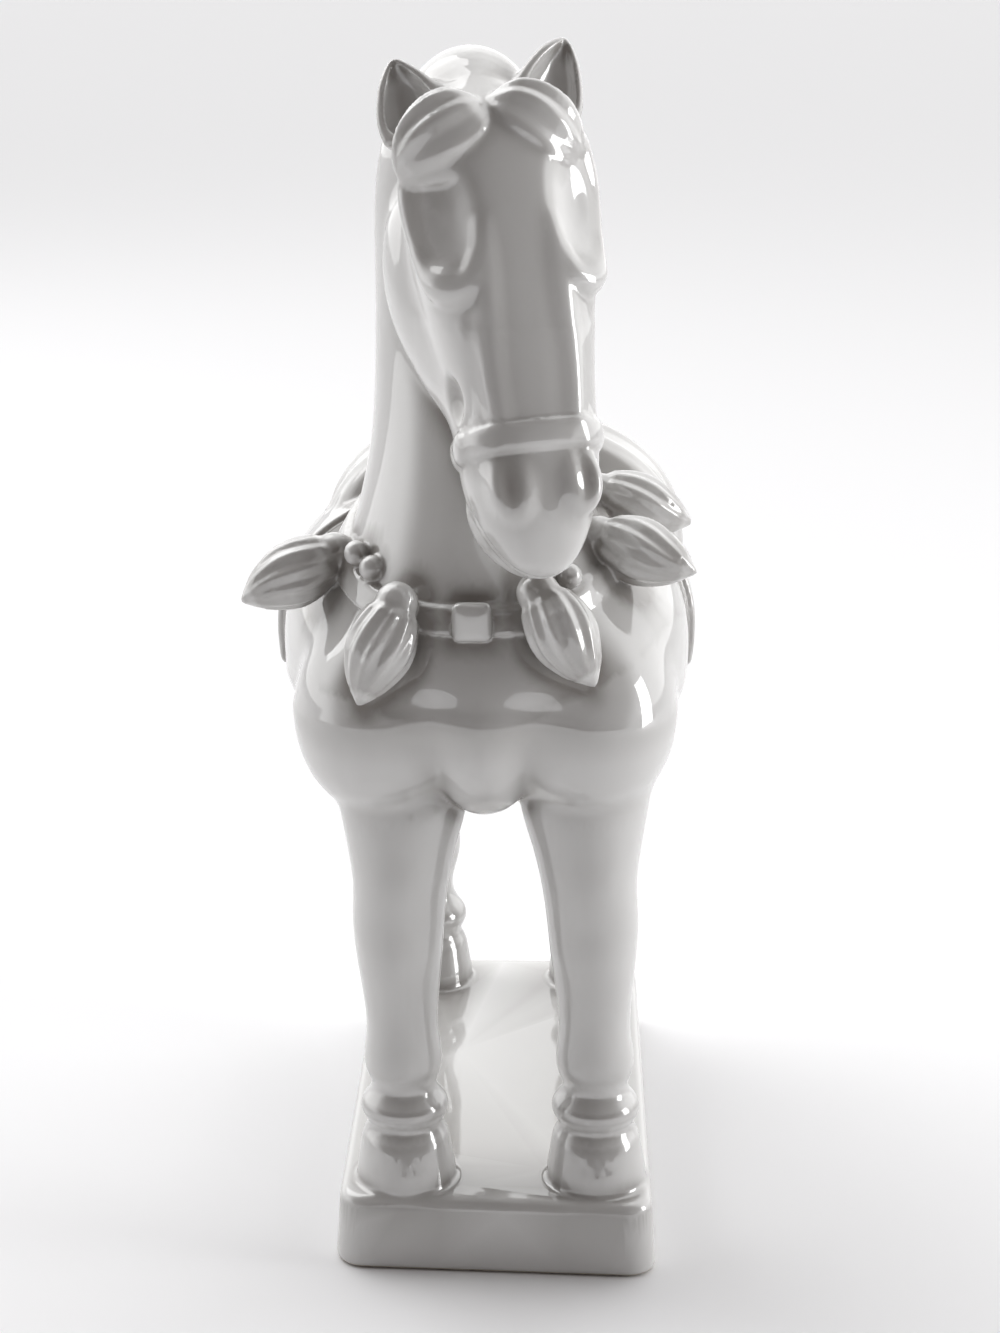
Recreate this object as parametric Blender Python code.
"""A glazed porcelain figurine: a standing horse in harness on a low rectangular plinth."""

import math

import bmesh
import bpy
import numpy as np
from mathutils import Matrix, Vector

# Sizes of the casting, in metres
HORSE_HEIGHT = 0.337
PLINTH_THICKNESS = 0.023
PLINTH_END_MARGIN = 0.0024
PLINTH_SIDE_MARGIN = 0.0032
PLINTH_CORNER_RADIUS = 0.009
PLINTH_TOP_ROUND = 0.0032
PLINTH_FOOT_ROUND = 0.0018
PLINTH_WALL_FLARE = 0.0014
PLINTH_FRONT_SKEW = 0.0022
VENT_DIAMETER = 0.008
VENT_DEPTH = 0.012
VENT_FROM_MIDDLE = 0.045
HOOF_SINK = 0.0012
STRAP_WIDTH = 0.0062
STRAP_PROUD = 0.0018
NOSEBAND_WIDTH = 0.0088
NOSEBAND_PROUD = 0.0011
ORNAMENT_SIDE = 0.0114
ORNAMENT_PROUD = 0.0030
BEAD_DIAMETER = 0.0076
TASSEL_LENGTH = 0.0312
TASSEL_DIAMETER = 0.0200
TASSEL_KNOB_DIAMETER = 0.0124
SADDLE_CLOTH_THICKNESS = 0.0022
SKIN_GRAIN = HORSE_HEIGHT / 230

# Counts
TASSEL_FLUTES = 11
LOCKS_A_SIDE = 6
SADDLE_FOLDS = 3
TRIANGLES_IN_HORSE = 9000
SOFTENING_ROUNDS = 3

# All places and half sizes below are hundredths of the horse's height. X runs to the horse's left,
# Y to its tail and Z up from the plinth's top; the plinth's middle is at X 0, Y 0
HUNDREDTH = HORSE_HEIGHT / 100
HOOF_TRACK = 8.6
HOOF_SHIFT = 0.5
LEG_LEAN = -0.022
HOOF_ROW = 22.4
HOOF_RADIUS = 4.45

# Each row is a section: how far along, its middle across and in depth, half its width, and its reach
# to the front or top and to the back or underside
TORSO = (
    (-27.9, -0.3, 46.0, 18.6, 10.4, 12.5),
    (-17.8, -0.7, 46.0, 19.1, 12.4, 12.4),
    (-6.0, -1.3, 46.2, 18.9, 13.2, 11.8),
    (6.0, -1.4, 46.2, 18.9, 12.8, 11.6),
    (18.0, -1.2, 45.8, 18.5, 12.4, 11.2),
    (32.0, -1.2, 45.6, 18.2, 12.2, 10.8),
)
TORSO_SQUARENESS = 2.3
TORSO_CAPS = (30.9, 2.6, 29.0, 3.0)
FRONT_LEG = (
    (-0.3, 0.0, 0.0, 4.40, 4.40, 4.30),
    (1.0, 0.0, 0.0, 4.45, 4.45, 4.35),
    (3.0, 0.0, -0.1, 4.14, 4.10, 4.00),
    (4.8, 0.0, -0.3, 3.68, 3.68, 3.60),
    (5.5, 0.0, -0.4, 3.38, 3.40, 3.38),
    (6.3, 0.0, -0.4, 3.74, 3.70, 3.68),
    (7.8, 0.0, -0.4, 3.70, 3.66, 3.66),
    (8.7, 0.0, -0.5, 3.02, 3.04, 3.10),
    (10.4, 0.0, -0.5, 3.30, 3.38, 3.52),
    (14.0, 0.0, -0.6, 3.24, 3.36, 3.46),
    (17.5, 0.0, -0.6, 3.36, 3.45, 3.45),
    (22.2, 0.0, -0.3, 3.86, 4.30, 3.75),
    (25.2, -0.05, -0.3, 4.06, 4.05, 3.95),
    (28.4, -0.3, -0.6, 4.22, 4.40, 4.25),
    (31.4, -0.45, -1.5, 4.78, 4.90, 4.80),
    (35.0, -0.6, -2.7, 5.65, 5.60, 5.70),
    (39.5, -0.3, -4.2, 6.05, 6.00, 6.60),
    (46.0, -0.5, -6.0, 5.50, 5.50, 7.00),
)
HIND_LEG = (
    (-0.3, 0.0, 0.0, 4.40, 4.40, 4.30),
    (1.0, 0.0, 0.0, 4.45, 4.45, 4.35),
    (3.0, 0.0, -0.2, 4.14, 4.10, 4.00),
    (4.8, 0.0, -0.5, 3.68, 3.68, 3.60),
    (5.5, 0.0, -0.6, 3.38, 3.40, 3.38),
    (6.4, 0.0, -0.7, 3.76, 3.72, 3.72),
    (7.9, 0.0, -0.8, 3.74, 3.72, 3.74),
    (8.8, 0.0, -0.9, 3.10, 3.12, 3.30),
    (14.0, 0.1, -1.3, 3.45, 3.30, 3.50),
    (18.5, 0.2, -1.9, 3.50, 3.40, 3.70),
    (22.5, 0.4, -2.6, 3.80, 3.90, 4.50),
    (26.0, 0.6, -2.3, 4.10, 4.60, 4.40),
    (31.0, 1.2, -0.8, 5.00, 6.20, 5.40),
    (36.0, 2.0, 0.8, 6.30, 8.20, 7.00),
    (42.0, 2.8, 2.0, 7.50, 9.60, 8.60),
    (48.0, 2.6, 2.5, 7.00, 9.00, 9.00),
)
LEG_CAPS = (0.6, 4.0, 6.0, 2.5)
NECK = (
    (45.0, -1.7, 11.5, 12.6, 14.0, 14.0),
    (54.0, -1.9, 12.3, 12.0, 13.0, 13.0),
    (60.0, -2.0, 11.8, 10.4, 12.0, 12.0),
    (66.0, -2.1, 11.3, 9.1, 10.4, 10.4),
    (73.0, -2.3, 10.6, 8.5, 8.8, 8.8),
    (80.0, -2.4, 10.4, 8.3, 7.8, 7.8),
    (87.0, -2.5, 11.0, 8.1, 7.4, 7.4),
    (93.0, -2.5, 12.4, 7.2, 6.6, 6.6),
    (98.0, -2.4, 13.2, 6.2, 5.6, 5.6),
)
NECK_CAPS = (2.0, 4.0, 9.0, 2.4)

# The head hangs from the poll, and its rows run down the face
POLL = (-1.2, -18.2, 95.0)
HEAD_TILT = math.radians(22)
HEAD_YAW = math.radians(16)
HEAD_ROLL = math.radians(2.5)
SKULL = (
    (-1.0, 0.0, 0.0, 6.0, 4.4, 4.4),
    (5.0, 0.0, 0.2, 7.0, 5.6, 6.5),
    (12.0, 0.0, 0.3, 7.5, 5.8, 8.0),
    (19.0, 0.0, 0.0, 6.6, 5.5, 7.4),
    (26.0, 0.0, -0.3, 5.75, 5.0, 5.6),
    (31.0, -0.2, -0.3, 5.55, 4.8, 4.4),
    (35.0, -0.3, -0.3, 5.2, 4.7, 2.4),
    (39.4, -0.1, -0.4, 4.7, 4.5, 2.0),
)
SKULL_CAPS = (5.0, 2.4, 9.8, 2.2)
SKULL_SQUARENESS = 2.4
NOSEBAND_PLACE = 28.4
JAW = (
    (2.0, 0.0, -5.0, 5.8, 4.0, 4.4),
    (9.0, 0.0, -6.6, 8.2, 6.0, 5.4),
    (16.0, 0.0, -6.6, 8.2, 6.0, 5.4),
    (22.0, 0.0, -4.8, 6.5, 5.0, 4.8),
    (28.0, 0.0, -2.8, 4.5, 4.0, 3.6),
    (33.0, 0.0, -2.4, 3.8, 3.4, 3.0),
)
JAW_CAPS = (7.0, 2.4, 7.0, 2.4)
LOWER_LIP = (
    (29.0, -0.2, -2.0, 4.2, 2.2, 2.6),
    (34.0, -0.3, -2.0, 5.4, 2.4, 2.8),
    (39.1, -0.1, -2.1, 5.0, 2.3, 2.5),
)
LOWER_LIP_CAPS = (3.0, 2.2, 8.8, 2.2)
EYE = (5.3, 14.6, 2.6)
EYE_HALF = (1.7, 2.4, 2.2)
BROW = (5.0, 9.6, 2.6)
BROW_HALF = (2.3, 4.4, 2.6)
NOSTRIL = (2.9, 32.4, 3.4)
NOSTRIL_HALF = (1.7, 2.4, 1.5)
EARS = (
    ((-5.6, 2.6, 0.6), (-6.7, -4.9, -1.4)),
    ((5.1, 1.3, 0.6), (8.3, -5.8, -1.4)),
)
EAR_TURNED_OUT = 0.25
# The ear's rows are shares of its length, and hundredths across
EAR = (
    (0.0, 0.0, 0.0, 3.0, 0.6, 2.6),
    (0.23, 0.0, 0.0, 3.1, -0.5, 2.4),
    (0.52, 0.0, 0.0, 2.6, -0.6, 2.0),
    (0.80, 0.0, 0.0, 1.7, -0.1, 1.5),
    (1.0, 0.0, 0.0, 1.0, 0.4, 0.9),
)
EAR_CAPS = (0.6, 3.0, 2.4, 2.0)
FORELOCK_PARTING = (-0.9, 1.3, 4.0)
FORELOCK_TIPS = ((-8.4, 6.7, 2.2), (6.8, 5.6, 2.6))
FORELOCK = (
    (0.0, 0.0, 0.0, 2.3, 1.6, 1.5),
    (2.8, 0.0, 0.9, 3.7, 1.9, 1.8),
    (5.8, 0.0, 0.9, 3.7, 1.8, 1.8),
    (9.2, 0.0, 0.0, 2.6, 1.2, 1.0),
)
FORELOCK_CAPS = (2.0, 2.2, 3.4, 2.2)
FORELOCK_GROOVES = 9
FORELOCK_GROOVE_DEPTH = 0.13
FORELOCK_TWIST = 0.05

# The crest of the mane, from the poll over the neck to the withers: place and radius
CREST = (
    (-2.0, -17.0, 94.0, 3.6),
    (-2.4, -11.5, 94.5, 4.8),
    (-2.4, -6.8, 90.5, 4.6),
    (-2.4, -4.4, 84.0, 4.0),
    (-2.3, -3.2, 76.0, 3.6),
    (-2.1, -1.6, 69.0, 3.2),
    (-1.9, 1.2, 62.5, 2.4),
)
# Locks of the mane lie on the neck, from near its back round towards its sides
LOCK = (
    (0.0, 0.0, 0.0, 1.6, 1.4, 1.3),
    (3.0, 0.0, 0.3, 2.5, 1.5, 1.4),
    (6.5, 0.0, 0.3, 2.3, 1.3, 1.2),
    (10.5, 0.0, 0.0, 0.9, 0.8, 0.7),
)
LOCK_CAPS = (1.5, 2.2, 4.5, 2.0)
LOCK_GROOVES = 5
LOCK_GROOVE_DEPTH = 0.16
LOCK_TWIST = 0.08
LOCK_HEIGHTS = (93.0, 68.0)
LOCK_DROP = 8.0
LOCK_TURNS = (math.radians(20), math.radians(76))

CHEST_KEEL = (-1.0, -19.6, 43.4)
CHEST_KEEL_HALF = (6.0, 8.1, 8.7)
CHEST_MUSCLE = (9.0, -17.6, 43.4)
CHEST_MUSCLE_HALF = (8.6, 8.7, 9.6)
HAUNCH = (9.4, 20.0, 42.6)
HAUNCH_HALF = (9.2, 11.5, 12.2)

COLLAR_FRONT = (-1.8, -26.0, 53.4)
COLLAR_BACK = (-1.8, 0.6, 63.2)
COLLAR_SIDE_RISE = 0.8
ORNAMENT = (-1.9, -26.9, 53.4)
ORNAMENT_SQUARENESS = 6.0
BEADS = ((-12.0, -19.4, 57.4), (-10.6, -21.0, 56.5), (6.2, -23.0, 56.4))
# Knob and direction of each tassel
TASSELS = (
    ((-14.2, -16.2, 56.6), (-9.0, -3.0, -4.2)),
    ((-8.2, -26.2, 54.8), (-3.3, -3.3, -8.6)),
    ((3.6, -26.4, 55.8), (4.7, -3.0, -7.0)),
    ((8.8, -16.2, 58.2), (8.6, -3.0, -2.5)),
    ((8.6, -7.6, 60.2), (8.6, 0.4, -2.8)),
)
TASSEL_GROOVE_DEPTH = 0.09
TASSEL_TWIST = 0.07
# Radius of a tassel along its length, both as shares of its own sizes
TASSEL = ((0.0, 0.66), (0.14, 0.84), (0.34, 1.0), (0.56, 0.95), (0.78, 0.64), (1.0, 0.26))

SADDLE = (
    (-2.0, 0.0, 51.5, 15.6, 10.6, 5.0),
    (2.0, 0.0, 51.5, 16.6, 13.2, 6.0),
    (6.0, 0.0, 51.5, 16.8, 12.2, 6.0),
    (10.0, 0.0, 51.5, 16.8, 12.8, 6.0),
    (13.5, 0.0, 51.5, 16.2, 11.6, 5.0),
)
SADDLE_CAPS = (3.4, 2.6, 3.4, 2.6)
SADDLE_CLOTH = (-3.4, 15.5)
SADDLE_CLOTH_CAPS = (3.0, 4.0, 3.0, 4.0)
SADDLE_CLOTH_SKIRT = 3.4
FOLD_RADIUS = 0.85
FOLD_LEAN = 1.6
TAIL_ROOT = (-1.4, 29.0, 58.0)
TAIL_TIP = (-1.4, 33.2, 33.5)
TAIL = (
    (0.0, 0.0, 0.0, 2.6, 2.6, 2.6),
    (6.0, 0.0, 1.4, 3.0, 2.8, 2.8),
    (11.0, 0.0, 1.4, 2.1, 2.1, 2.1),
    (15.0, 0.0, 1.0, 3.0, 2.8, 2.8),
    (20.0, 0.0, 0.4, 2.4, 2.2, 2.2),
    (25.0, 0.0, 0.0, 1.2, 1.2, 1.2),
)
TAIL_CAPS = (2.0, 2.4, 5.0, 2.0)
TAIL_GROOVES = 7
TAIL_GROOVE_DEPTH = 0.16
TAIL_TWIST = 0.10


def clear_scene():
    for thing in list(bpy.data.objects):
        bpy.data.objects.remove(thing, do_unlink=True)


def smooth_rows(rows, along):
    """The rows' columns read from natural cubic splines at the places asked for."""
    rows = np.array(rows, float)
    knots, values = rows[:, 0], rows[:, 1:]
    gaps = np.diff(knots)
    count = len(knots)
    system = np.eye(count)
    target = np.zeros_like(values)
    for i in range(1, count - 1):
        system[i, i - 1 : i + 2] = gaps[i - 1], 2 * (gaps[i - 1] + gaps[i]), gaps[i]
        slopes = (values[i + 1] - values[i]) / gaps[i] - (values[i] - values[i - 1]) / gaps[i - 1]
        target[i] = 6 * slopes
    bend = np.linalg.solve(system, target)
    along = np.clip(along, knots[0], knots[-1])
    i = np.clip(np.searchsorted(knots, along) - 1, 0, count - 2)
    left, right = (knots[i + 1] - along)[:, None], (along - knots[i])[:, None]
    gap = gaps[i][:, None]
    return (
        (bend[i] * left**3 + bend[i + 1] * right**3) / (6 * gap)
        + (values[i] / gap - bend[i] * gap / 6) * left
        + (values[i + 1] / gap - bend[i + 1] * gap / 6) * right
    )


def cap_share(along, first, last, caps):
    """How much of its full section is left at each place, falling to nothing at both rounded ends."""
    first_length, first_power, last_length, last_power = caps
    near_first = np.clip((first + first_length - along) / first_length, 0, 1)
    near_last = np.clip((along - last + last_length) / last_length, 0, 1)
    share = (1 - near_first**first_power) ** (1 / first_power)
    return share * (1 - near_last**last_power) ** (1 / last_power)


def even_ends(first, last, count):
    """Places along a form, crowded towards its rounded ends."""
    turn = np.linspace(0, math.pi, count)
    return first + (last - first) * (1 - np.cos(turn)) / 2


def skin_rings(rings, closed=False):
    """A closed mesh over rings of points, with the ends filled unless the last ring meets the first."""
    mesh = bmesh.new()
    loops = [[mesh.verts.new(point) for point in ring] for ring in rings]
    pairs = list(zip(loops, loops[1:]))
    if closed:
        pairs.append((loops[-1], loops[0]))
    for lower, upper in pairs:
        for i in range(len(lower)):
            j = (i + 1) % len(lower)
            mesh.faces.new((lower[i], lower[j], upper[j], upper[i]))
    if not closed:
        mesh.faces.new(loops[0])
        mesh.faces.new(loops[-1])
    bmesh.ops.recalc_face_normals(mesh, faces=mesh.faces)
    return mesh


def upright_frame():
    """Axes of a form built upwards: across, forwards and up."""
    return Matrix(((1, 0, 0), (0, -1, 0), (0, 0, 1))).transposed()


def frame_between(root, tip, forward=(0, -1, 0)):
    """Origin and axes of a form that runs from root to tip with its broad face forwards."""
    along = (Vector(tip) - Vector(root)).normalized()
    across = along.cross(Vector(forward)).normalized()
    face = across.cross(along)
    return Matrix((across, face, along)).transposed()


def head_frame():
    """Axes of the head: across, out of the face, and down the face."""
    turn = Matrix.Rotation(HEAD_YAW, 3, "Z") @ Matrix.Rotation(-HEAD_ROLL, 3, "Y")
    face = Vector((0, -math.cos(HEAD_TILT), math.sin(HEAD_TILT)))
    down = Vector((0, -math.sin(HEAD_TILT), -math.cos(HEAD_TILT)))
    return Matrix([turn @ axis for axis in (Vector((1, 0, 0)), face, down)]).transposed()


def in_head(place):
    """A place given across, down the face and out of it, as a place in the horse."""
    across, down, out = place
    return Vector(POLL) + head_frame() @ Vector((across, out, down))


def stack(rows, caps, axes, origin=(0, 0, 0), mirror=1, count=30, around=36, squareness=2.0,
          grooves=0, groove_depth=0.0, twist=0.0, lean=0.0):
    """A form lofted through its rows: a stack of rounded sections that closes at both ends."""
    first, last = rows[0][0], rows[-1][0]
    places = even_ends(first, last, count)[1:-1]
    values = smooth_rows(rows, places)
    shares = cap_share(places, first, last, caps)
    angles = np.linspace(0, 2 * math.pi, around, endpoint=False)
    cosine, sine = np.cos(angles), np.sin(angles)
    curve = (np.abs(cosine) ** squareness + np.abs(sine) ** squareness) ** (-1 / squareness)
    rings = []
    for place, (middle, depth, half, front, back), share in zip(places, values, shares):
        ripple = 1 - groove_depth * (0.5 - 0.5 * np.cos(grooves * (angles + twist * place)))
        across = mirror * (middle + half * share * cosine * curve * ripple) + lean * place
        reach = np.where(sine > 0, front, back) * share
        out = depth + reach * sine * curve * ripple
        rings.append([
            Vector(origin) + axes @ Vector((a, o, place)) for a, o in zip(across, out)
        ])
    return skin_rings(rings)


def torso_axes():
    """Axes of the torso's rows: across, up and towards the tail."""
    return Matrix(((1, 0, 0), (0, 0, 1), (0, 1, 0))).transposed()


def ball(middle, half, axes=None):
    """An egg of three half sizes."""
    mesh = bmesh.new()
    bmesh.ops.create_icosphere(mesh, subdivisions=4, radius=1)
    axes = axes or Matrix.Identity(3)
    for vert in mesh.verts:
        scaled = Vector([c * h for c, h in zip(vert.co, half)])
        vert.co = Vector(middle) + axes @ scaled
    return mesh


def tube(points, radii, around=28):
    """A round form of changing thickness along a smooth path."""
    share = np.linspace(0, 1, len(points))
    rows = np.column_stack([share, points, radii])
    path = smooth_rows(rows, np.linspace(0, 1, 8 * len(points))).tolist()
    rings = []
    for i, (x, y, z, radius) in enumerate(path):
        ahead = Vector(path[min(i + 1, len(path) - 1)][:3]) - Vector(path[max(i - 1, 0)][:3])
        side = ahead.cross(Vector((1, 0.001, 0))).normalized()
        other = ahead.normalized().cross(side)
        rings.append([
            Vector((x, y, z)) + radius * (math.cos(a) * side + math.sin(a) * other)
            for a in np.linspace(0, 2 * math.pi, around, endpoint=False)
        ])
    return skin_rings(rings)


def hoop(places, outward, half_width, half_thickness, along, around=14):
    """A closed flat band through places, each with its direction away from the body."""
    rings = []
    for place, out, width_way in zip(places, outward, along):
        rings.append([
            place + half_thickness * math.cos(a) * out + half_width * math.sin(a) * width_way
            for a in np.linspace(0, 2 * math.pi, around, endpoint=False)
        ])
    return skin_rings(rings, closed=True)


def in_hundredths(size):
    """A size in metres as hundredths of the horse's height."""
    return size / HUNDREDTH


def body_forms():
    """Torso, chest, haunches and neck."""
    forms = [
        stack(TORSO, TORSO_CAPS, torso_axes(), count=56, around=64, squareness=TORSO_SQUARENESS),
        stack(NECK, NECK_CAPS, upright_frame(), count=44, around=48),
    ]
    forms.append(ball(CHEST_KEEL, CHEST_KEEL_HALF))
    for side in (-1, 1):
        x, y, z = CHEST_MUSCLE
        forms.append(ball((side * x + CHEST_KEEL[0], y, z), CHEST_MUSCLE_HALF))
        x, y, z = HAUNCH
        forms.append(ball((side * x + TORSO[3][1], y, z), HAUNCH_HALF))
    return forms


def leg_forms():
    """Four legs with fetlock rings and bell hooves, their soles a little below the plinth's top."""
    forms = []
    sink = in_hundredths(HOOF_SINK)
    for rows, row_place in ((FRONT_LEG, -HOOF_ROW), (HIND_LEG, HOOF_ROW)):
        planted = ((-sink,) + rows[0][1:],) + rows[1:]
        for side in (-1, 1):
            hoof = (HOOF_SHIFT + side * HOOF_TRACK, row_place, 0)
            forms.append(
                stack(planted, LEG_CAPS, upright_frame(), hoof, side, count=72, around=32,
                      lean=LEG_LEAN)
            )
    return forms


def head_forms():
    """Skull with muzzle, jaw, brows, eyes, nostrils and ears."""
    axes = head_frame()
    forms = [
        stack(SKULL, SKULL_CAPS, axes, POLL, count=52, around=48, squareness=SKULL_SQUARENESS),
        stack(JAW, JAW_CAPS, axes, POLL, count=36, around=40, squareness=SKULL_SQUARENESS),
        stack(LOWER_LIP, LOWER_LIP_CAPS, axes, POLL, count=26, around=40),
    ]
    for side in (-1, 1):
        for place, half in ((EYE, EYE_HALF), (BROW, BROW_HALF), (NOSTRIL, NOSTRIL_HALF)):
            across, down, out = place
            wide, long, deep = half
            forms.append(ball(in_head((side * across, down, out)), (wide, deep, long), axes))
    for root, tip in EARS:
        facing = axes @ Vector((math.copysign(EAR_TURNED_OUT, root[0]), 1, 0))
        root, tip = in_head(root), in_head(tip)
        length = (tip - root).length
        rows = tuple((row[0] * length,) + row[1:] for row in EAR)
        forms.append(stack(rows, EAR_CAPS, frame_between(root, tip, facing), root, count=26, around=40))
    return forms


def forelock_forms():
    """Two grooved lobes that part between the ears."""
    axes = head_frame()
    forms = []
    for place in FORELOCK_TIPS:
        root, tip = in_head(FORELOCK_PARTING), in_head(place)
        lobe_axes = frame_between(root, tip, axes @ Vector((0, 1, 0)))
        forms.append(
            stack(FORELOCK, FORELOCK_CAPS, lobe_axes, root, count=26, around=56,
                  grooves=FORELOCK_GROOVES, groove_depth=FORELOCK_GROOVE_DEPTH, twist=FORELOCK_TWIST)
        )
    return forms


def on_neck(height, turn, side):
    """The place on the neck's skin at a height, turned from its back towards one side."""
    across, depth, half, front, back = smooth_rows(NECK, np.array([height]))[0].tolist()
    return Vector((across + side * half * math.sin(turn), back * math.cos(turn) - depth, height))


def mane_forms():
    """The crest, and locks that fall from it over both sides of the neck."""
    crest = np.array(CREST)
    forms = [tube(crest[:, :3], crest[:, 3])]
    root_turn, tip_turn = LOCK_TURNS
    for height in np.linspace(*LOCK_HEIGHTS, LOCKS_A_SIDE).tolist():
        for side in (-1, 1):
            root = on_neck(height, root_turn, side)
            tip = on_neck(height - LOCK_DROP, tip_turn, side)
            outward = (side * math.sin(tip_turn), math.cos(tip_turn), 0)
            forms.append(
                stack(LOCK, LOCK_CAPS, frame_between(root, tip, outward), root, count=22, around=40,
                      grooves=LOCK_GROOVES, groove_depth=LOCK_GROOVE_DEPTH, twist=LOCK_TWIST)
            )
    return forms


def collar_places(count=72):
    """Places on the neck's skin round its base, with outward and widthways directions."""
    front, back = Vector(COLLAR_FRONT), Vector(COLLAR_BACK)
    long_way = (front - back).normalized()
    normal = Vector((1, 0, 0)).cross(long_way).normalized()
    places, outward, widthways = [], [], []
    for turn in np.linspace(0, 2 * math.pi, count, endpoint=False).tolist():
        share = (1 - math.cos(turn)) / 2
        height = front.z + (back.z - front.z) * share + COLLAR_SIDE_RISE * abs(math.sin(turn))
        across, depth, half, ahead, behind = smooth_rows(NECK, np.array([height]))[0].tolist()
        reach = ahead if math.cos(turn) > 0 else behind
        places.append(Vector((across + half * math.sin(turn), -depth - reach * math.cos(turn), height)))
        outward.append(Vector((1, 0, 0)) * math.sin(turn) + long_way * math.cos(turn))
        widthways.append(normal)
    return places, outward, widthways


def harness_forms():
    """Collar strap, square ornament, beads, tassels and noseband."""
    half_width = in_hundredths(STRAP_WIDTH) / 2
    proud = in_hundredths(STRAP_PROUD)
    places, outward, widthways = collar_places()
    places = [place - out * proud for place, out in zip(places, outward)]
    forms = [hoop(places, outward, half_width, 2 * proud, widthways)]
    side = in_hundredths(ORNAMENT_SIDE) / 2
    ornament_proud = in_hundredths(ORNAMENT_PROUD)
    ornament_axes = Matrix(((1, 0, 0), (0, 0, 1), (0, -1, 0))).transposed()
    rows = tuple((z, 0.0, 0.0, side, side, side) for z in (-ornament_proud, 0, ornament_proud))
    forms.append(
        stack(rows, (ornament_proud, 2.5) * 2, ornament_axes, ORNAMENT, count=14, around=40,
              squareness=ORNAMENT_SQUARENESS)
    )
    bead = in_hundredths(BEAD_DIAMETER) / 2
    forms += [ball(place, (bead, bead, bead)) for place in BEADS]
    forms += tassel_forms()
    forms.append(noseband())
    return forms


def tassel_forms():
    """Fluted teardrops, each under a small knob."""
    length, radius = in_hundredths(TASSEL_LENGTH), in_hundredths(TASSEL_DIAMETER) / 2
    knob = in_hundredths(TASSEL_KNOB_DIAMETER) / 2
    rows = tuple(
        (share * length, 0.0, 0.0, fat * radius, fat * radius, fat * radius) for share, fat in TASSEL
    )
    forms = []
    for place, direction in TASSELS:
        axes = frame_between(Vector(place), Vector(place) + Vector(direction), (0, -1, 0.1))
        forms.append(
            stack(rows, (0.12 * length, 2.0, 0.22 * length, 1.8), axes, place, count=30, around=90,
                  grooves=TASSEL_FLUTES, groove_depth=TASSEL_GROOVE_DEPTH, twist=TASSEL_TWIST)
        )
        forms.append(ball(place, (knob, knob, knob)))
    return forms


def noseband():
    """A flat band that follows the muzzle's own section, a little proud of it."""
    proud, half_width = in_hundredths(NOSEBAND_PROUD), in_hundredths(NOSEBAND_WIDTH) / 2
    places = NOSEBAND_PLACE + half_width * np.array((-1.0, 0.0, 1.0))
    rows = []
    for place, (across, depth, half, front, back) in zip(places, smooth_rows(SKULL, places)):
        rows.append((place, across, depth, half + proud, front + proud, back + proud))
    round_edge = (proud, 2.0, proud, 2.0)
    return stack(rows, round_edge, head_frame(), POLL, count=16, around=48,
                 squareness=SKULL_SQUARENESS)


def saddle_forms():
    """A saddle cloth over the barrel, the saddle on it, and folds that run down both sides."""
    first, last = SADDLE_CLOTH
    lift = in_hundredths(SADDLE_CLOTH_THICKNESS)
    places = np.linspace(first, last, 5)
    rows = []
    for place, (across, depth, half, up, down) in zip(places, smooth_rows(TORSO, places)):
        rows.append((place, across, depth, half + lift, up + lift, SADDLE_CLOTH_SKIRT))
    forms = [
        stack(rows, SADDLE_CLOTH_CAPS, torso_axes(), count=44, around=72,
              squareness=TORSO_SQUARENESS),
        stack(SADDLE, SADDLE_CAPS, torso_axes(), count=40, around=60, squareness=TORSO_SQUARENESS),
    ]
    for i in range(SADDLE_FOLDS):
        place = SADDLE[0][0] + (SADDLE[-1][0] - SADDLE[0][0]) * (i + 1) / (SADDLE_FOLDS + 1)
        across, depth, half, up, down = smooth_rows(SADDLE, np.array([place]))[0]
        points, radii = [], []
        for turn in np.linspace(0.05, math.pi - 0.05, 15):
            points.append((
                across + half * math.cos(turn),
                place + FOLD_LEAN * math.cos(turn) ** 2,
                depth + (up - 0.1) * math.sin(turn) ** 0.9,
            ))
            radii.append(FOLD_RADIUS * (0.6 + 0.4 * math.sin(turn)))
        forms.append(tube(np.array(points), np.array(radii), around=16))
    return forms


def tail_forms():
    """A bound tail that hangs close to the rump."""
    axes = frame_between(Vector(TAIL_ROOT), Vector(TAIL_TIP), (0, 1, 0))
    return [
        stack(TAIL, TAIL_CAPS, axes, TAIL_ROOT, count=44, around=56, grooves=TAIL_GROOVES,
              groove_depth=TAIL_GROOVE_DEPTH, twist=TAIL_TWIST)
    ]


def placed_object(name, forms, offset):
    """One object made of all the forms, brought from hundredths to metres."""
    joined = bpy.data.meshes.new(name)
    whole = bmesh.new()
    for form in forms:
        piece = bpy.data.meshes.new("form")
        form.to_mesh(piece)
        form.free()
        whole.from_mesh(piece)
        bpy.data.meshes.remove(piece)
    bmesh.ops.scale(whole, vec=(HUNDREDTH,) * 3, verts=whole.verts)
    bmesh.ops.translate(whole, vec=offset, verts=whole.verts)
    whole.to_mesh(joined)
    whole.free()
    made = bpy.data.objects.new(name, joined)
    bpy.context.collection.objects.link(made)
    return made


def bake(thing):
    """Replaces an object's mesh by what its modifiers make of it."""
    bpy.context.view_layer.update()
    graph = bpy.context.evaluated_depsgraph_get()
    mesh = bpy.data.meshes.new_from_object(thing.evaluated_get(graph))
    thing.modifiers.clear()
    thing.data = mesh
    return thing


def add_boolean(thing, other, operation, solver="EXACT"):
    change = thing.modifiers.new(operation.title(), "BOOLEAN")
    change.operation = operation
    change.solver = solver
    change.object = other
    other.hide_render = True
    other.display_type = "WIRE"
    return change


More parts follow.
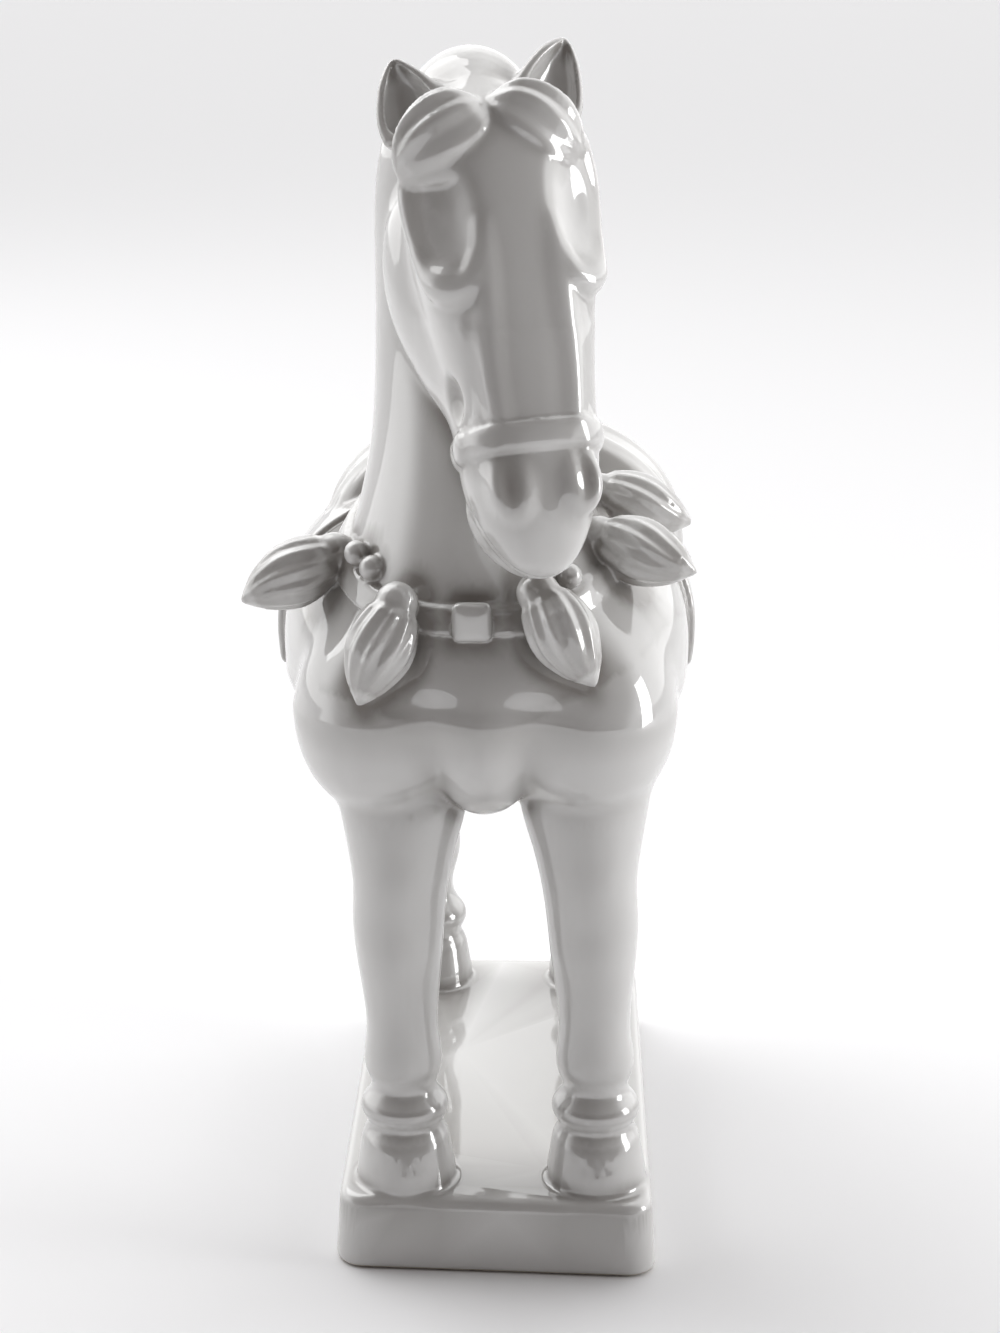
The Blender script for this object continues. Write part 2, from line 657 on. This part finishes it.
def keep_outer_skin(thing):
    """Removes the small skins round the hollows that the overlapping forms shut in."""
    mesh = bmesh.new()
    mesh.from_mesh(thing.data)
    waiting = set(mesh.verts)
    skins = []
    while waiting:
        reached = [waiting.pop()]
        skin = list(reached)
        while reached:
            vert = reached.pop()
            for edge in vert.link_edges:
                other = edge.other_vert(vert)
                if other in waiting:
                    waiting.remove(other)
                    reached.append(other)
                    skin.append(other)
        skins.append(skin)
    skins.sort(key=len)
    for skin in skins[:-1]:
        bmesh.ops.delete(mesh, geom=skin, context="VERTS")
    mesh.to_mesh(thing.data)
    mesh.free()


def fuse(thing, grain, rounds):
    """Makes one skin of overlapping forms and softens their meeting lines, as a glaze does."""
    remesh = thing.modifiers.new("One skin", "REMESH")
    remesh.mode = "VOXEL"
    remesh.voxel_size = grain
    soften = thing.modifiers.new("Soften", "SMOOTH")
    soften.factor = 0.5
    soften.iterations = rounds
    bake(thing)
    keep_outer_skin(thing)


def make_plinth():
    """A low block with rounded corners and walls that flare to a flat foot."""
    reach = HOOF_RADIUS * HUNDREDTH
    half_length = HOOF_ROW * HUNDREDTH + reach + PLINTH_END_MARGIN
    half_width = (HOOF_TRACK + HOOF_SHIFT) * HUNDREDTH + reach + PLINTH_SIDE_MARGIN / 2
    mesh = bmesh.new()
    bmesh.ops.create_cube(mesh, size=1)
    for vert in mesh.verts:
        flare = PLINTH_WALL_FLARE if vert.co.z < 0 else 0.0
        skew = PLINTH_FRONT_SKEW * math.copysign(1, vert.co.x) if vert.co.y < 0 else 0.0
        vert.co.x = math.copysign(half_width + flare, vert.co.x)
        vert.co.y = math.copysign(half_length + flare, vert.co.y) - skew
        vert.co.z = 0.0 if vert.co.z < 0 else PLINTH_THICKNESS
    corners = [edge for edge in mesh.edges if abs(edge.verts[0].co.z - edge.verts[1].co.z) > 1e-6]
    bmesh.ops.bevel(mesh, geom=corners, offset=PLINTH_CORNER_RADIUS, segments=6, profile=0.5,
                    affect="EDGES")
    for height, offset in ((PLINTH_THICKNESS, PLINTH_TOP_ROUND), (0.0, PLINTH_FOOT_ROUND)):
        rim = [edge for edge in mesh.edges if all(abs(v.co.z - height) < 1e-6 for v in edge.verts)]
        bmesh.ops.bevel(mesh, geom=rim, offset=offset, segments=3, profile=0.5, affect="EDGES")
    bmesh.ops.recalc_face_normals(mesh, faces=mesh.faces)
    data = bpy.data.meshes.new("plinth")
    mesh.to_mesh(data)
    mesh.free()
    plinth = bpy.data.objects.new("plinth", data)
    bpy.context.collection.objects.link(plinth)
    return plinth


def make_vent():
    """The cutter for the casting vent in the plinth's underside."""
    mesh = bmesh.new()
    bmesh.ops.create_cone(mesh, cap_ends=True, segments=24, radius1=VENT_DIAMETER / 2,
                          radius2=VENT_DIAMETER / 2, depth=2 * VENT_DEPTH)
    bmesh.ops.translate(mesh, vec=(0, VENT_FROM_MIDDLE, 0), verts=mesh.verts)
    data = bpy.data.meshes.new("vent")
    mesh.to_mesh(data)
    mesh.free()
    vent = bpy.data.objects.new("vent", data)
    bpy.context.collection.objects.link(vent)
    return vent


def glaze():
    """White porcelain glaze, faintly warm and very smooth."""
    material = bpy.data.materials.new("white glaze")
    material.use_nodes = True
    shader = material.node_tree.nodes["Principled BSDF"]
    shader.inputs["Base Color"].default_value = (0.86, 0.86, 0.85, 1)
    shader.inputs["Roughness"].default_value = 0.06
    shader.inputs["Metallic"].default_value = 0.0
    return material


def make_horse():
    """The horse alone, as one skin of few triangles."""
    forms = body_forms() + leg_forms() + head_forms() + forelock_forms() + mane_forms()
    forms += harness_forms() + saddle_forms() + tail_forms()
    offset = (0, 0, PLINTH_THICKNESS)
    horse = placed_object("porcelain_horse", forms, offset)
    fuse(horse, SKIN_GRAIN, SOFTENING_ROUNDS)
    triangles = sum(len(face.vertices) - 2 for face in horse.data.polygons)
    thin = horse.modifiers.new("Fewer faces", "DECIMATE")
    thin.ratio = TRIANGLES_IN_HORSE / triangles
    return bake(horse)


def main():
    clear_scene()
    horse = make_horse()
    plinth = make_plinth()
    add_boolean(horse, plinth, "UNION", "MANIFOLD")
    add_boolean(horse, make_vent(), "DIFFERENCE", "MANIFOLD")
    horse.data.materials.clear()
    horse.data.materials.append(glaze())
    horse.data.shade_smooth()


main()
